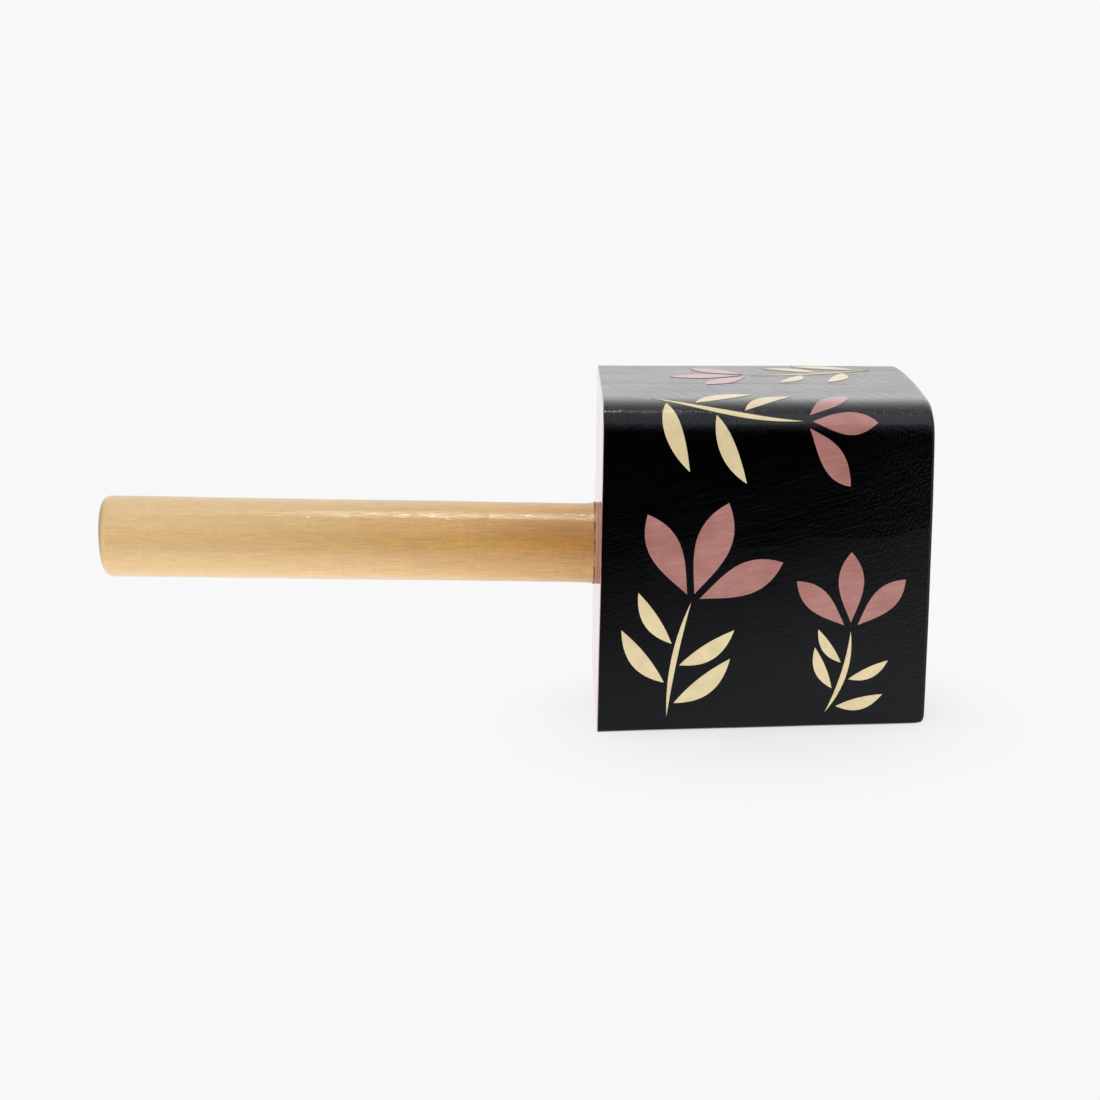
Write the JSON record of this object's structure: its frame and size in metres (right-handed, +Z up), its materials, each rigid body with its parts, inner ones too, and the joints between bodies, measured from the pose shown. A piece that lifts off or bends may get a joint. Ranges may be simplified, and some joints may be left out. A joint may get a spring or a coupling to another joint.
{
  "type": "hand rattle",
  "caption": "Hand rattle with a hollow rounded block head of two glued halves, a straight round handle and loose pebbles sealed in its chamber.",
  "frame": {"origin": "middle of the flat underside of the head, on the seam between its halves", "axes": "+X along the head away from the handle, +Y from the front half to the back half, +Z up off the rest face"},
  "size_m": [0.225, 0.074, 0.088],
  "materials": {
    "lacquered_cedar": "black paint under satin varnish",
    "varnished_cedar": "clear satin varnish",
    "peg_wood": "bare",
    "pebble": "water-worn"
  },
  "bodies": {
    "rattle": {"front_shell": "lacquered_cedar", "back_shell": "lacquered_cedar", "handle": "varnished_cedar", "tenon_peg": "peg_wood", "seam_pegs": "peg_wood"},
    "pebble_1": {"pebble_1": "pebble"},
    "pebble_2": {"pebble_2": "pebble"},
    "pebble_3": {"pebble_3": "pebble"},
    "pebble_4": {"pebble_4": "pebble"},
    "pebble_5": {"pebble_5": "pebble"},
    "pebble_6": {"pebble_6": "pebble"},
    "pebble_7": {"pebble_7": "pebble"},
    "pebble_8": {"pebble_8": "pebble"},
    "pebble_9": {"pebble_9": "pebble"},
    "pebble_10": {"pebble_10": "pebble"},
    "pebble_11": {"pebble_11": "pebble"},
    "pebble_12": {"pebble_12": "pebble"}
  },
  "joints": [
    {"name": "pebble_1_hop", "type": "slide", "parent": "rattle", "child": "pebble_1", "axis": [0, 0, 1], "range_m": [0, 0.0669]},
    {"name": "pebble_2_hop", "type": "slide", "parent": "rattle", "child": "pebble_2", "axis": [0, 0, 1], "range_m": [0, 0.0657]},
    {"name": "pebble_3_hop", "type": "slide", "parent": "rattle", "child": "pebble_3", "axis": [0, 0, 1], "range_m": [0, 0.0644]},
    {"name": "pebble_4_hop", "type": "slide", "parent": "rattle", "child": "pebble_4", "axis": [0, 0, 1], "range_m": [0, 0.0665]},
    {"name": "pebble_5_hop", "type": "slide", "parent": "rattle", "child": "pebble_5", "axis": [0, 0, 1], "range_m": [0, 0.0652]},
    {"name": "pebble_6_hop", "type": "slide", "parent": "rattle", "child": "pebble_6", "axis": [0, 0, 1], "range_m": [0, 0.0657]},
    {"name": "pebble_7_hop", "type": "slide", "parent": "rattle", "child": "pebble_7", "axis": [0, 0, 1], "range_m": [0, 0.0661]},
    {"name": "pebble_8_hop", "type": "slide", "parent": "rattle", "child": "pebble_8", "axis": [0, 0, 1], "range_m": [0, 0.0648]},
    {"name": "pebble_9_hop", "type": "slide", "parent": "rattle", "child": "pebble_9", "axis": [0, 0, 1], "range_m": [0, 0.0653]},
    {"name": "pebble_10_hop", "type": "slide", "parent": "rattle", "child": "pebble_10", "axis": [0, 0, 1], "range_m": [0, 0.0656]},
    {"name": "pebble_11_hop", "type": "slide", "parent": "rattle", "child": "pebble_11", "axis": [0, 0, 1], "range_m": [0, 0.0661]},
    {"name": "pebble_12_hop", "type": "slide", "parent": "rattle", "child": "pebble_12", "axis": [0, 0, 1], "range_m": [0, 0.0648]}
  ]
}
